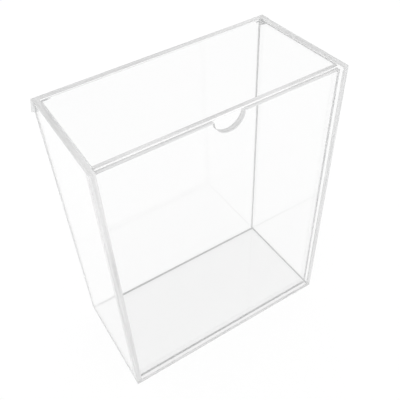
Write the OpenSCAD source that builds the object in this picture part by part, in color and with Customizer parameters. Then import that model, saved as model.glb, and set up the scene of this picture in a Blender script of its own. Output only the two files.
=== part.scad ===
// Clear acrylic deck box for trading cards, with a hinged lid and a finger notch.
// Millimetres. +Z is up, the front faces -Y. The origin is the middle of the footprint, on the surface it stands on.

/* [Case] */
// Width across the outer faces of the two side walls
body_w = 76; // [60:1:110]
// Depth of the base and the side walls, front to back
body_d = 37.3; // [24:0.1:80]
// Height of the whole box
body_h = 97.2; // [60:0.1:130]
// Thickness of the acrylic sheet
sheet_t = 1.8; // [1.5:0.1:3]
// How far the front wall sits behind the front edges of the side walls
front_recess = 1.1; // [0:0.1:2.5]

/* [Finger notch] */
// Radius of the half-round notch in the top edge of the front wall
notch_r = 4.55; // [3:0.05:8]
// Distance of the notch's centre to the right of the middle
notch_shift = 0.7; // [-2:0.1:2]

/* [Lid] */
// Thickness of the lid panel
lid_t = 1.2; // [1.1:0.1:2]
// Gap between the lid and the walls around it
lid_gap = 0.15; // [0.1:0.05:0.4]
// Gap under the lid where it closes over the front wall
lid_rest_gap = 0.03; // [0.02:0.01:0.2]
// Width of the front wall's top edge that shows in front of the lid
lid_ledge = 1; // [0.3:0.1:1.5]

/* [Hinge] */
// Diameter of the hinge pins
pin_d = 0.6; // [0.5:0.1:0.7]
// Radial running clearance of the lid on its pins
pin_clearance = 0.05; // [0.02:0.01:0.09]
// Length of each pin that reaches into the lid
pin_reach = 2; // [1.5:0.5:8]
// Depth of the cap over each pin, front to back
cap_depth = 3.4; // [3:0.1:6]
// Height of a cap at its back edge
cap_back_h = 4.1; // [3:0.1:6]
// Height of a cap at its front edge
cap_front_h = 2.3; // [1.5:0.1:4]
// How far a cap stands out from the side wall at its top edge
cap_top_t = 0.15; // [0.1:0.05:0.5]
// How far a cap stands out from the side wall at its foot
cap_foot_t = 0.9; // [0.5:0.1:1.5]

/* [Hidden] */
$fn = 96;

// Space between the side walls
inner_w = body_w - 2 * sheet_t;
// Outer face of the front wall, and the inner faces of the front and back walls
front_y = -body_d / 2 + front_recess;
front_inner_y = front_y + sheet_t;
back_inner_y = body_d / 2 - sheet_t;
// Top edge of the front wall, just below the closed lid
front_top_z = body_h - lid_t - lid_rest_gap;
// The hinge axis runs along X through the middle of the lid's rounded back edge
lid_edge_r = lid_t / 2;
hinge_y = back_inner_y - lid_gap - lid_edge_r;
hinge_z = body_h - lid_edge_r;
lid_front_y = front_y + lid_ledge;
lid_w = inner_w - 2 * lid_gap;
pin_length = sheet_t + lid_gap + pin_reach;
// Drilled a little deeper than the pin reaches
lid_bore_depth = pin_reach + 0.5;
// Lets a cut pass cleanly through a face
cut_over = 1;

// A box given by its lowest and highest corners
module block(low, high) {
    translate(low) cube(high - low);
}

// A cylinder along +X that starts at x and is centred on the hinge axis
module on_hinge_axis(x, r, length) {
    translate([x, hinge_y, hinge_z]) rotate([0, 90, 0]) cylinder(r = r, h = length);
}

// The base covers the whole footprint, and the four walls stand on it
module base_plate() {
    color([0.90, 0.93, 0.94, 0.45])
        block([-body_w / 2, -body_d / 2, 0], [body_w / 2, body_d / 2, sheet_t]);
}

module front_wall() {
    color([0.90, 0.93, 0.94, 0.45])
        difference() {
            block([-inner_w / 2, front_y, sheet_t], [inner_w / 2, front_inner_y, front_top_z]);
            translate([notch_shift, front_y - cut_over, front_top_z])
                rotate([-90, 0, 0]) cylinder(r = notch_r, h = sheet_t + 2 * cut_over);
        }
}

module back_wall() {
    color([0.90, 0.93, 0.94, 0.45])
        block([-inner_w / 2, back_inner_y, sheet_t], [inner_w / 2, body_d / 2, body_h]);
}

// Side walls run from front to back and up to the lid's top face; each holds one hinge pin
module side_wall() {
    color([0.90, 0.93, 0.94, 0.45])
        difference() {
            block([-body_w / 2, -body_d / 2, sheet_t], [-inner_w / 2, body_d / 2, body_h]);
            on_hinge_axis(-body_w / 2 - cut_over, pin_d / 2, sheet_t + 2 * cut_over);
        }
}

module left_wall() {
    side_wall();
}

module right_wall() {
    mirror([1, 0, 0]) side_wall();
}

// A flat panel whose back edge is rounded about the hinge axis, with a bore in each end for a pin
module lid_panel() {
    color([0.92, 0.95, 0.96, 0.45])
        difference() {
            union() {
                block([-lid_w / 2, lid_front_y, body_h - lid_t], [lid_w / 2, hinge_y, body_h]);
                on_hinge_axis(-lid_w / 2, lid_edge_r, lid_w);
            }
            on_hinge_axis(-lid_w / 2 - cut_over, pin_d / 2 + pin_clearance, lid_bore_depth + cut_over);
            on_hinge_axis(lid_w / 2 - lid_bore_depth, pin_d / 2 + pin_clearance, lid_bore_depth + cut_over);
        }
}

module hinge_pin() {
    color([0.75, 0.76, 0.78])
        on_hinge_axis(-body_w / 2, pin_d / 2, pin_length);
}

module left_hinge_pin() {
    hinge_pin();
}

module right_hinge_pin() {
    mirror([1, 0, 0]) hinge_pin();
}

// A small cap bonded over the pin's outer end, flush with the top and back edges of the side wall.
// It grows thicker towards its foot, and its foot slopes up towards the front.
module hinge_cap() {
    color([0.80, 0.82, 0.84, 0.7])
        intersection() {
            translate([-body_w / 2, body_d / 2, body_h - cap_back_h])
                rotate([90, 0, 0])
                    linear_extrude(cap_depth)
                        polygon([[0, 0], [-cap_foot_t, 0], [-cap_foot_t, cap_top_t],
                                 [-cap_top_t, cap_back_h], [0, cap_back_h]]);
            translate([-body_w / 2 - cut_over, body_d / 2, body_h])
                rotate([90, 0, 90])
                    linear_extrude(2 * cut_over)
                        polygon([[0, 0], [-cap_depth, 0], [-cap_depth, -cap_front_h], [0, -cap_back_h]]);
        }
}

module left_hinge_cap() {
    hinge_cap();
}

module right_hinge_cap() {
    mirror([1, 0, 0]) hinge_cap();
}

base_plate();
front_wall();
back_wall();
left_wall();
right_wall();
lid_panel();
left_hinge_pin();
right_hinge_pin();
left_hinge_cap();
right_hinge_cap();
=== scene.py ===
"""A clear acrylic deck box with a hinged lid: bonded panels with polished faces and machined edges."""

import math

import bmesh
import bpy
from mathutils import Euler, Matrix, Vector


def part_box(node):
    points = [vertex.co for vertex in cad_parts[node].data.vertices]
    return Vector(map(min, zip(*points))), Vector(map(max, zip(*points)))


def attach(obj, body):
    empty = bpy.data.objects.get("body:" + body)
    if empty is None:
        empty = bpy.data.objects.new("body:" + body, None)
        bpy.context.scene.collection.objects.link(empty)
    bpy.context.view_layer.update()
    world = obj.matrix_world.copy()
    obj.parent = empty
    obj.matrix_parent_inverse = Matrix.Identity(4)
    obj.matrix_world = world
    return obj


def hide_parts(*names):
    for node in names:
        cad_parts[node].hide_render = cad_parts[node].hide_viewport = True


MM = 0.001

# Shape details that the CAD solids leave out, in metres
BOND = 0.03 * MM             # width of the bond line between two panels
TOUCH = 0.1 * MM             # a face this near to a neighbour is bonded to it
EDGE_BEVEL = 0.14 * MM       # broken edges of the cut sheet
LID_BEVEL = 0.12 * MM
LID_FRONT_ROUND = 0.65 * MM  # radius of the lid's front top edge
CAP_BEVEL = 0.06 * MM
BORE_CLEARANCE = 0.05 * MM   # radial clearance of the lid's bores on the pins
BORE_EXTRA_DEPTH = 0.5 * MM  # how far the lid's bores run past the pins
SAME_PLACE = 0.001 * MM      # points nearer than this are one point

# Facets of the curved outlines
NOTCH_STEPS = 48
ROUND_STEPS = 12
BORE_SIDES = 24

# Edges sharper than these angles are bevelled
SHEET_SHARP = math.radians(40)
CAP_SHARP = math.radians(20)

# A normal's part along an axis: above the first the face lies square to the axis, below the second along it
SQUARE = 0.99
ALONG = 0.01

# Material slots of the walls and the base; the front wall and the base have a fourth each
POLISHED, MACHINED, BONDED = range(3)
# the front wall's fourth: a lighter copy of the cut edge on the notch, painted light
NOTCHED = 3
# the base's fourth: a darker copy of the cut edge on its bevels, painted shade
BASE_ARRIS = 3
# Material slots of the lid, after the polished one: copies of the cut edge, each lighter or darker as
# painted light and shade
LID_ROUND, LID_SIDE, LID_FRONT = range(1, 4)

ACRYLIC_IOR = 1.49
PAINTED_EDGE_GLOW = 0.08             # painted glow: a white emission standing in for daylight that the sheet pipes to its cut edges

# How the streaks on a cut edge are stretched: small on the axes that they run along
EVEN = (1, 1, 1)
ALONG_SIDES = (1, 0.04, 0.04)
ALONG_FRONT = (0.04, 1, 0.04)
ALONG_BASE = (0.04, 0.04, 1)
ALONG_LID_ROUND = (0.04, 1, 1)
ALONG_LID_FRONT = (0.04, 0.04, 0.2)

# The floor: its half width, its drop below the box, its own light, and that light's share
FLOOR_HALF = 3.0
FLOOR_DROP = 0.05 * MM
FLOOR_GLOW = 1.028
FLOOR_GLOW_SHARE = 0.9

# Brightness of the surround at the horizon and overhead
HORIZON_LEVEL = 1.0
OVERHEAD_LEVEL = 0.93

# The soft light: its side in metres, its power in watts, and its place
LIGHT_SIZE = 0.6
LIGHT_POWER = 0.3
LIGHT_PLACE = (-0.3, -0.5, 0.8)

# The camera: where it stands, how it is turned in degrees, and its lens
CAMERA_PLACE = (-0.06187, -0.10563, 0.17536)
CAMERA_TURN = (46.07, 4.293, -30.346)
CAMERA_LENS = 48.4
CAMERA_SENSOR = 36.0
CAMERA_SHIFT = (0.081, -0.0233)
CAMERA_NEAREST = 0.005

# Light runs a long way inside the sheet before it leaves, and black bands show if its path is cut short
LIGHT_BOUNCES = 160
HAZE_LAYERS = 64


# ---------------------------------------------------------------- materials

def new_material(name):
    """A material with an empty node tree, its tree, and its output node."""
    material = bpy.data.materials.new(name)
    material.use_nodes = True
    tree = material.node_tree
    tree.nodes.clear()
    output = tree.nodes.new("ShaderNodeOutputMaterial")
    return material, tree, output


def position(tree, stretch):
    """Object coordinates, stretched along each axis."""
    coordinates = tree.nodes.new("ShaderNodeTexCoord")
    mapping = tree.nodes.new("ShaderNodeMapping")
    mapping.inputs["Scale"].default_value = stretch
    tree.links.new(coordinates.outputs["Object"], mapping.inputs["Vector"])
    return mapping.outputs["Vector"]


def noise(tree, scale, detail, stretch=EVEN):
    """A noise texture in object space; scale is in cycles per metre."""
    texture = tree.nodes.new("ShaderNodeTexNoise")
    texture.inputs["Scale"].default_value = scale
    texture.inputs["Detail"].default_value = detail
    tree.links.new(position(tree, stretch), texture.inputs["Vector"])
    return texture.outputs["Fac"]


def remap(tree, value, low, high, from_low=0.0, from_high=1.0):
    """value, moved from one range to another."""
    node = tree.nodes.new("ShaderNodeMapRange")
    node.inputs["From Min"].default_value = from_low
    node.inputs["From Max"].default_value = from_high
    node.inputs["To Min"].default_value = low
    node.inputs["To Max"].default_value = high
    tree.links.new(value, node.inputs["Value"])
    return node.outputs["Result"]


def vary_colour(tree, factor, first, second):
    """A colour that runs from first to second, each (red, green, blue), as factor goes from 0 to 1."""
    node = tree.nodes.new("ShaderNodeMix")
    node.data_type = "RGBA"
    node.inputs["A"].default_value = (*first, 1)
    node.inputs["B"].default_value = (*second, 1)
    tree.links.new(factor, node.inputs["Factor"])
    return node.outputs["Result"]


def grey(level):
    """An even grey, as (red, green, blue)."""
    return (level, level, level)


def bump(tree, height, strength, distance):
    """A bump normal from a height value."""
    node = tree.nodes.new("ShaderNodeBump")
    node.inputs["Strength"].default_value = strength
    node.inputs["Distance"].default_value = distance
    tree.links.new(height, node.inputs["Height"])
    return node.outputs["Normal"]


def glow_white(shader, strength):
    """Gives a shader a weak white emission of its own: painted light, as the part is no lamp."""
    shader.inputs["Emission Color"].default_value = (1, 1, 1, 1)
    shader.inputs["Emission Strength"].default_value = strength


def clear_acrylic(name, tint_level):
    """Polished cast sheet: water clear, with a faint waviness and fine wiping marks."""
    material, tree, output = new_material(name)
    shader = tree.nodes.new("ShaderNodeBsdfPrincipled")
    shader.inputs["Transmission Weight"].default_value = 1.0
    shader.inputs["IOR"].default_value = ACRYLIC_IOR
    darker = (tint_level - 0.003, tint_level - 0.002, tint_level - 0.002)
    lighter = grey(tint_level + 0.004)
    tint = vary_colour(tree, noise(tree, scale=40, detail=2), darker, lighter)
    tree.links.new(tint, shader.inputs["Base Color"])
    wipe = noise(tree, scale=900, detail=4, stretch=(1, 1, 0.06))
    roughness = remap(tree, wipe, low=0.0, high=0.02, from_low=0.45, from_high=0.8)
    tree.links.new(roughness, shader.inputs["Roughness"])
    waves = noise(tree, scale=60, detail=1)
    tree.links.new(bump(tree, waves, strength=0.02, distance=0.2 * MM), shader.inputs["Normal"])
    tree.links.new(shader.outputs["BSDF"], output.inputs["Surface"])
    return material


def machined_edge(name, shade, haze, streaks=EVEN, glow=PAINTED_EDGE_GLOW):
    """A cut edge of the sheet: satin, greyer than the faces, with saw lines drawn out along the edge.
    haze is the satin's share, and the rest is frosted glass. shade is set per copy, lighter or darker
    as painted light and shade for where the edge sits; glow is a painted white emission."""
    material, tree, output = new_material(name)
    lines = noise(tree, scale=1100, detail=1, stretch=streaks)
    glass = tree.nodes.new("ShaderNodeBsdfPrincipled")
    glass.inputs["Transmission Weight"].default_value = 1.0
    glass.inputs["IOR"].default_value = ACRYLIC_IOR
    glass.inputs["Base Color"].default_value = (0.97, 0.975, 0.98, 1)
    tree.links.new(remap(tree, lines, low=0.10, high=0.35), glass.inputs["Roughness"])
    satin = tree.nodes.new("ShaderNodeBsdfPrincipled")
    satin.inputs["Roughness"].default_value = 0.35
    contrast = remap(tree, lines, low=0.0, high=1.0, from_low=0.3, from_high=0.7)
    colour = vary_colour(tree, contrast, grey(shade * 0.8), grey(shade * 1.08))
    tree.links.new(colour, satin.inputs["Base Color"])
    tree.links.new(bump(tree, lines, strength=0.15, distance=0.05 * MM), satin.inputs["Normal"])
    glow_white(satin, glow)
    mix = tree.nodes.new("ShaderNodeMixShader")
    mix.inputs["Fac"].default_value = haze
    tree.links.new(glass.outputs["BSDF"], mix.inputs[1])
    tree.links.new(satin.outputs["BSDF"], mix.inputs[2])
    tree.links.new(mix.outputs["Shader"], output.inputs["Surface"])
    return material


def hazy(name, dark, light, thin, thick, scale, glow):
    """A see-through haze with a fine grain. Its shade runs from dark to light and its cover from thin
    to thick; glow is a painted white emission that stands in for light piped into it."""
    material, tree, output = new_material(name)
    shader = tree.nodes.new("ShaderNodeBsdfPrincipled")
    shader.inputs["IOR"].default_value = ACRYLIC_IOR
    grain = noise(tree, scale, detail=3)
    colour = vary_colour(tree, grain, (dark, dark * 1.01, dark * 1.02), grey(light))
    tree.links.new(colour, shader.inputs["Base Color"])
    cover = remap(tree, grain, thin, thick, from_low=0.35, from_high=0.7)
    tree.links.new(cover, shader.inputs["Alpha"])
    tree.links.new(remap(tree, grain, low=0.3, high=0.5), shader.inputs["Roughness"])
    tree.links.new(bump(tree, grain, strength=0.1, distance=0.02 * MM), shader.inputs["Normal"])
    glow_white(shader, glow)
    tree.links.new(shader.outputs["BSDF"], output.inputs["Surface"])
    return material


def bond_line(name, shade, thin, thick, glow):
    """A solvent bond between two panels: some light passes, through a grey haze with fine bubbles; glow is
    painted light that lightens the seam line.
    """
    return hazy(name, dark=shade * 0.9, light=shade, thin=thin, thick=thick, scale=1200, glow=glow)


def cap_plastic():
    """Thin moulded plastic, nearly clear and a little milky, with a fine grain and a faint painted glow."""
    return hazy("cap_clear", dark=0.72, light=0.86, thin=0.5, thick=0.7, scale=2500, glow=0.05)


def pin_steel():
    """Drawn steel wire, with fine lines along it."""
    material, tree, output = new_material("pin_steel")
    shader = tree.nodes.new("ShaderNodeBsdfPrincipled")
    shader.inputs["Metallic"].default_value = 1.0
    drawn = noise(tree, scale=6000, detail=2, stretch=(0.05, 1, 1))
    colour = vary_colour(tree, drawn, (0.55, 0.56, 0.58), (0.78, 0.79, 0.80))
    tree.links.new(colour, shader.inputs["Base Color"])
    tree.links.new(remap(tree, drawn, low=0.2, high=0.4), shader.inputs["Roughness"])
    tree.links.new(shader.outputs["BSDF"], output.inputs["Surface"])
    return material


# ---------------------------------------------------------------- meshes

def make_object(name, mesh_data, materials):
    """A linked object for a bmesh, with its materials."""
    mesh = bpy.data.meshes.new(name)
    mesh_data.to_mesh(mesh)
    mesh_data.free()
    for material in materials:
        mesh.materials.append(material)
    piece = bpy.data.objects.new(name, mesh)
    bpy.context.scene.collection.objects.link(piece)
    return piece


def outward(shape):
    """Turns every face's normal out of the solid."""
    bmesh.ops.recalc_face_normals(shape, faces=shape.faces)
    if shape.calc_volume(signed=True) < 0:
        bmesh.ops.reverse_faces(shape, faces=shape.faces)


def extrude_outline(outline, axis, low, high):
    """A closed bmesh from an outline of (a, b) points, extruded along axis from low to high.
    a and b are the other two axes in X, Y, Z order."""
    def place(a, b, c):
        point = [a, b]
        point.insert(axis, c)
        return point
    shape = bmesh.new()
    near = [shape.verts.new(place(a, b, low)) for a, b in outline]
    far = [shape.verts.new(place(a, b, high)) for a, b in outline]
    shape.faces.new(near)
    shape.faces.new(far)
    count = len(outline)
    for i in range(count):
        j = (i + 1) % count
        shape.faces.new((near[i], near[j], far[j], far[i]))
    outward(shape)
    return shape


def bevel_sharp(shape, width, angle=SHEET_SHARP, segments=2, keep=(), slot=MACHINED):
    """Bevels the edges where two faces meet at more than angle, apart from those of the keep faces."""
    kept = set(keep)

    def is_sharp(edge):
        if len(edge.link_faces) != 2 or kept.intersection(edge.link_faces):
            return False
        return edge.calc_face_angle() > angle

    sharp = [edge for edge in shape.edges if is_sharp(edge)]
    made = bmesh.ops.bevel(shape, geom=sharp, offset=width, segments=segments, profile=0.5,
                           affect="EDGES", clamp_overlap=True)
    for face in made["faces"]:
        face.material_index = slot
        face.smooth = True
    outward(shape)


def split_along(shape, node):
    """Cuts the faces of shape along the six planes of a node's box."""
    for axis in range(3):
        normal = Vector((0, 0, 0))
        normal[axis] = 1
        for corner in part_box(node):
            everything = shape.verts[:] + shape.edges[:] + shape.faces[:]
            bmesh.ops.bisect_plane(shape, geom=everything, dist=TOUCH / 10,
                                   plane_co=corner, plane_no=normal)


def is_inside(point, node):
    """Whether a point lies in a node's box."""
    low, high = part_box(node)
    return all(low[k] <= point[k] <= high[k] for k in range(3))


def mark_faces(shape, thin_axis, neighbours):
    """Splits the faces along the neighbours' outlines and marks each as polished, machined or bonded.
    Returns the bonded faces."""
    for node in neighbours:
        split_along(shape, node)
    outward(shape)
    bonded = []
    for face in shape.faces:
        face.smooth = False
        probe = face.calc_center_median() + face.normal * TOUCH
        if any(is_inside(probe, node) for node in neighbours):
            face.material_index = BONDED
            bonded.append(face)
        elif abs(face.normal[thin_axis]) > SQUARE:
            face.material_index = POLISHED
        else:
            face.material_index = MACHINED
    return bonded


def arc(centre, radius, start, end, steps):
    """Points on an arc about centre, from angle start to angle end."""
    turns = [start + (end - start) * i / steps for i in range(steps + 1)]
    return [(centre[0] + radius * math.cos(t), centre[1] + radius * math.sin(t)) for t in turns]


def flat_panel(node, thin_axis, materials, neighbours, low_gap=(0, 0, 0), high_gap=(0, 0, 0),
               bevel_slot=MACHINED):
    """A panel in a CAD node's box, with broken edges where it isn't bonded to its neighbours.
    The gaps draw in its bonded faces at the low and the high corner."""
    low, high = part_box(node)
    low = low + Vector(low_gap)
    high = high - Vector(high_gap)
    a, b = [i for i in range(3) if i != thin_axis]
    outline = [(low[a], low[b]), (high[a], low[b]), (high[a], high[b]), (low[a], high[b])]
    shape = extrude_outline(outline, thin_axis, low[thin_axis], high[thin_axis])
    bonded = mark_faces(shape, thin_axis, neighbours)
    bevel_sharp(shape, EDGE_BEVEL, keep=bonded, slot=bevel_slot)
    return make_object(node + "_sheet", shape, materials)


def notch_of(node):
    """Centre and radius of the notch in the top edge, read from the CAD mesh."""
    low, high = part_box(node)
    middle = (low.z + high.z) / 2
    inside = [v.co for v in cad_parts[node].data.vertices
              if v.co.z > middle and low.x + MM < v.co.x < high.x - MM]
    left = min(p.x for p in inside)
    right = max(p.x for p in inside)
    return (left + right) / 2, (right - left) / 2


def front_panel(materials, neighbours):
    """The front wall, with the half-round notch in its top edge."""
    low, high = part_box("front_wall")
    low = low + Vector((BOND, 0, BOND))
    high = high - Vector((BOND, 0, 0))
    middle, radius = notch_of("front_wall")
    outline = [(low.x, low.z), (high.x, low.z), (high.x, high.z)]
    outline += arc((middle, high.z), radius, 0, -math.pi, NOTCH_STEPS)
    outline.append((low.x, high.z))
    shape = extrude_outline(outline, 1, low.y, high.y)
    bonded = mark_faces(shape, 1, neighbours)
    # The notch's faces take the lighter copy of the cut edge: painted light.
    for face in shape.faces:
        if face.material_index == MACHINED and face.calc_center_median().z < high.z - TOUCH / 2:
            face.material_index = NOTCHED
    bevel_sharp(shape, EDGE_BEVEL, keep=bonded)
    return make_object("front_wall_sheet", shape, materials)


def lid_slot(normal):
    """The material slot of a face of the lid."""
    if abs(normal.x) > SQUARE:
        return LID_SIDE
    if normal.y < -SQUARE:
        return LID_FRONT
    if normal.y < -ALONG:
        return LID_ROUND
    return POLISHED


def lid_panel(materials):
    """The lid: a thin panel with a rounded front top edge, and a back edge rounded about the hinge axis."""
    low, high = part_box("lid_panel")
    back_radius = (high.z - low.z) / 2
    back_centre = (high.y - back_radius, low.z + back_radius)
    front_centre = (low.y + LID_FRONT_ROUND, high.z - LID_FRONT_ROUND)
    outline = [(low.y, low.z)]
    outline += arc(back_centre, back_radius, -math.pi / 2, math.pi / 2, ROUND_STEPS)
    outline += arc(front_centre, LID_FRONT_ROUND, math.pi / 2, math.pi, ROUND_STEPS)
    shape = extrude_outline(outline, 0, low.x, high.x)
    for face in shape.faces:
        face.material_index = lid_slot(face.normal)
        face.smooth = ALONG < abs(face.normal.z) < SQUARE
    bevel_sharp(shape, LID_BEVEL)
    return make_object("lid_sheet", shape, materials)


def hinge_cap(node, materials):
    """The wedge-shaped cap in a CAD node's place, with softened edges."""
    shape = bmesh.new()
    shape.from_mesh(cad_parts[node].data)
    bmesh.ops.remove_doubles(shape, verts=shape.verts, dist=SAME_PLACE)
    bmesh.ops.dissolve_limit(shape, angle_limit=math.radians(1), verts=shape.verts, edges=shape.edges)
    low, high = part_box(node)
    inner, outer = (high.x, low.x) if low.x < 0 else (low.x, high.x)
    for vert in shape.verts:
        if abs(vert.co.x - inner) < SAME_PLACE:
            vert.co.x += math.copysign(BOND, outer)
    bevel_sharp(shape, CAP_BEVEL, angle=CAP_SHARP, segments=3, slot=POLISHED)
    for face in shape.faces:
        face.smooth = True
    return make_object(node + "_moulding", shape, materials)


def drill_for_pin(piece, pin_node, clearance, extra_depth):
    """Drills piece along X for a hinge pin, a little wider and deeper than the pin."""
    low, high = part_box(pin_node)
    radius = (high.z - low.z) / 2 + clearance
    centre = (low + high) / 2
    start, end = low.x, high.x
    if centre.x < 0:
        start -= MM
        end += extra_depth
    else:
        start -= extra_depth
        end += MM
    turned = Matrix.Rotation(math.pi / 2, 4, "Y")
    placed = Matrix.Translation(((start + end) / 2, centre.y, centre.z)) @ turned
    shape = bmesh.new()
    bmesh.ops.create_cone(shape, cap_ends=True, segments=BORE_SIDES, radius1=radius, radius2=radius,
                          depth=end - start, matrix=placed)
    drill = make_object("drill", shape, [])
    modifier = piece.modifiers.new("bore", "BOOLEAN")
    modifier.operation = "DIFFERENCE"
    modifier.solver = "EXACT"
    modifier.object = drill
    evaluated = piece.evaluated_get(bpy.context.evaluated_depsgraph_get())
    drilled = bpy.data.meshes.new_from_object(evaluated)
    piece.modifiers.clear()
    piece.data = drilled
    bpy.data.objects.remove(drill)


# ---------------------------------------------------------------- the object

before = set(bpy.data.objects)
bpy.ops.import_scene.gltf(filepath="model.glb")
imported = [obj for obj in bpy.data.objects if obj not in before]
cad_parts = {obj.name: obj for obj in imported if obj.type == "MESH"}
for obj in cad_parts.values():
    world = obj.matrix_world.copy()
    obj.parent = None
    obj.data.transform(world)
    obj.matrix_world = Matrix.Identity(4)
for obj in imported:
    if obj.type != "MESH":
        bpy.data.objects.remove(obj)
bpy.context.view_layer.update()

clear = clear_acrylic("clear_acrylic", tint_level=0.986)
# The cut edges below are one machined edge in lit and shaded copies: each copy's shade and glow are set for
# where it sits, as painted light and shade. The bonds' glows are painted light too.
side_sheet = [
    clear,
    machined_edge("acrylic_side_edge", shade=0.77, haze=0.75, streaks=ALONG_SIDES),
    bond_line("acrylic_side_bond", shade=0.86, thin=0.3, thick=0.5, glow=0.28)]
back_sheet = [
    clear,
    machined_edge("acrylic_back_edge", shade=0.78, haze=0.7, streaks=ALONG_FRONT),
    bond_line("acrylic_back_bond", shade=0.74, thin=0.5, thick=0.75, glow=0.17)]
front_sheet = [
    clear,
    machined_edge("acrylic_front_edge", shade=0.80, haze=0.8, streaks=ALONG_FRONT),
    bond_line("acrylic_front_bond", shade=0.9, thin=0.35, thick=0.6, glow=0.36),
    machined_edge("acrylic_notch_edge", shade=0.9, haze=0.7, streaks=ALONG_FRONT)]
base_sheet = [
    # the base's clear sheet is tinted darker than the walls': painted shade over the base
    clear_acrylic("base_acrylic", tint_level=0.94),
    machined_edge("acrylic_base_edge", shade=0.84, haze=0.45, streaks=ALONG_BASE, glow=0.14),
    bond_line("acrylic_base_bond", shade=0.5, thin=0.7, thick=0.95, glow=0.05),
    # a darker copy of the cut edge on the base's bevels: painted shade that draws dark lines along its
    # edges
    machined_edge("acrylic_base_arris", shade=0.66, haze=0.8)]
lid_sheet = [
    clear,
    # the rounded front edge is a darker copy, painted shade; the lid's side and front edges are lighter
    # copies with painted glow
    machined_edge("acrylic_lid_round", shade=0.66, haze=0.85, streaks=ALONG_LID_ROUND),
    machined_edge("acrylic_lid_side", shade=0.9, haze=0.85, streaks=ALONG_SIDES, glow=0.3),
    machined_edge("acrylic_lid_front", shade=0.95, haze=0.45, streaks=ALONG_LID_FRONT, glow=0.5)]

walls = ("front_wall", "back_wall", "left_wall", "right_wall")
beside_a_side = ("base_plate", "front_wall", "back_wall")
between_the_sides = ("base_plate", "left_wall", "right_wall")

base = flat_panel("base_plate", 2, base_sheet, walls, bevel_slot=BASE_ARRIS)
left, right = [flat_panel(node, 0, side_sheet, beside_a_side, low_gap=(0, 0, BOND))
               for node in ("left_wall", "right_wall")]
back = flat_panel("back_wall", 1, back_sheet, between_the_sides,
                  low_gap=(BOND, 0, BOND), high_gap=(BOND, 0, 0))
front = front_panel(front_sheet, between_the_sides)
lid = lid_panel(lid_sheet)

for node, wall in (("left_hinge_pin", left), ("right_hinge_pin", right)):
    drill_for_pin(wall, node, BOND, 0)
    drill_for_pin(lid, node, BORE_CLEARANCE, BORE_EXTRA_DEPTH)

cap_material = cap_plastic()
steel = pin_steel()
caps = [hinge_cap(node, [cap_material]) for node in ("left_hinge_cap", "right_hinge_cap")]
for node in ("left_hinge_pin", "right_hinge_pin"):
    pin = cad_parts[node]
    pin.data.materials.clear()
    pin.data.materials.append(steel)

for piece, node in ((base, "base_plate"), (left, "left_wall"), (right, "right_wall"),
                    (back, "back_wall"), (front, "front_wall")):
    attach(piece, "case")
    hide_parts(node)
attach(lid, "lid")
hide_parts("lid_panel")
for piece, node in zip(caps, ("left_hinge_cap", "right_hinge_cap")):
    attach(piece, "case")
    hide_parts(node)


# ---------------------------------------------------------------- the studio

def studio_floor():
    """A pale floor that glows a little, like a light table, so it stays white under the box."""
    material, tree, output = new_material("studio_floor")
    paint = tree.nodes.new("ShaderNodeBsdfDiffuse")
    paint.inputs["Color"].default_value = (0.9, 0.9, 0.9, 1)
    glow = tree.nodes.new("ShaderNodeEmission")
    glow.inputs["Color"].default_value = (1, 1, 1, 1)
    glow.inputs["Strength"].default_value = FLOOR_GLOW
    mix = tree.nodes.new("ShaderNodeMixShader")
    mix.inputs["Fac"].default_value = FLOOR_GLOW_SHARE
    tree.links.new(paint.outputs["BSDF"], mix.inputs[1])
    tree.links.new(glow.outputs["Emission"], mix.inputs[2])
    tree.links.new(mix.outputs["Shader"], output.inputs["Surface"])
    shape = bmesh.new()
    corners = ((-1, -1), (1, -1), (1, 1), (-1, 1))
    shape.faces.new([shape.verts.new((x * FLOOR_HALF, y * FLOOR_HALF, -FLOOR_DROP)) for x, y in corners])
    floor = make_object("studio_floor", shape, [material])


def studio_world():
    """An even white surround, a little darker overhead."""
    world = bpy.data.worlds.new("studio")
    bpy.context.scene.world = world
    world.use_nodes = True
    tree = world.node_tree
    background = tree.nodes["Background"]
    coordinates = tree.nodes.new("ShaderNodeTexCoord")
    split = tree.nodes.new("ShaderNodeSeparateXYZ")
    tree.links.new(coordinates.outputs["Generated"], split.inputs["Vector"])
    level = remap(tree, split.outputs["Z"], HORIZON_LEVEL, OVERHEAD_LEVEL)
    tree.links.new(level, background.inputs["Strength"])
    background.inputs["Color"].default_value = (1, 1, 1, 1)


def studio_light():
    """A broad soft light overhead. It only lights matt surfaces, so no patch shows in the clear faces."""
    data = bpy.data.lights.new("soft_light", "AREA")
    data.size = LIGHT_SIZE
    data.energy = LIGHT_POWER
    light = bpy.data.objects.new("soft_light", data)
    bpy.context.scene.collection.objects.link(light)
    light.location = LIGHT_PLACE
    light.rotation_euler = (-light.location).to_track_quat("-Z", "Y").to_euler()
    light.visible_camera = False
    light.visible_glossy = False
    light.visible_transmission = False


def studio_camera():
    """The camera, which looks down at the box from the front left."""
    data = bpy.data.cameras.new("camera")
    data.sensor_width = CAMERA_SENSOR
    data.lens = CAMERA_LENS
    data.shift_x, data.shift_y = CAMERA_SHIFT
    data.clip_start = CAMERA_NEAREST
    camera = bpy.data.objects.new("camera", data)
    bpy.context.scene.collection.objects.link(camera)
    camera.location = CAMERA_PLACE
    camera.rotation_euler = Euler([math.radians(a) for a in CAMERA_TURN])
    bpy.context.scene.camera = camera


studio_floor()
studio_world()
studio_light()
studio_camera()

scene = bpy.context.scene
scene.view_settings.view_transform = "Standard"
scene.cycles.max_bounces = LIGHT_BOUNCES
scene.cycles.transmission_bounces = LIGHT_BOUNCES
scene.cycles.glossy_bounces = LIGHT_BOUNCES
scene.cycles.transparent_max_bounces = HAZE_LAYERS
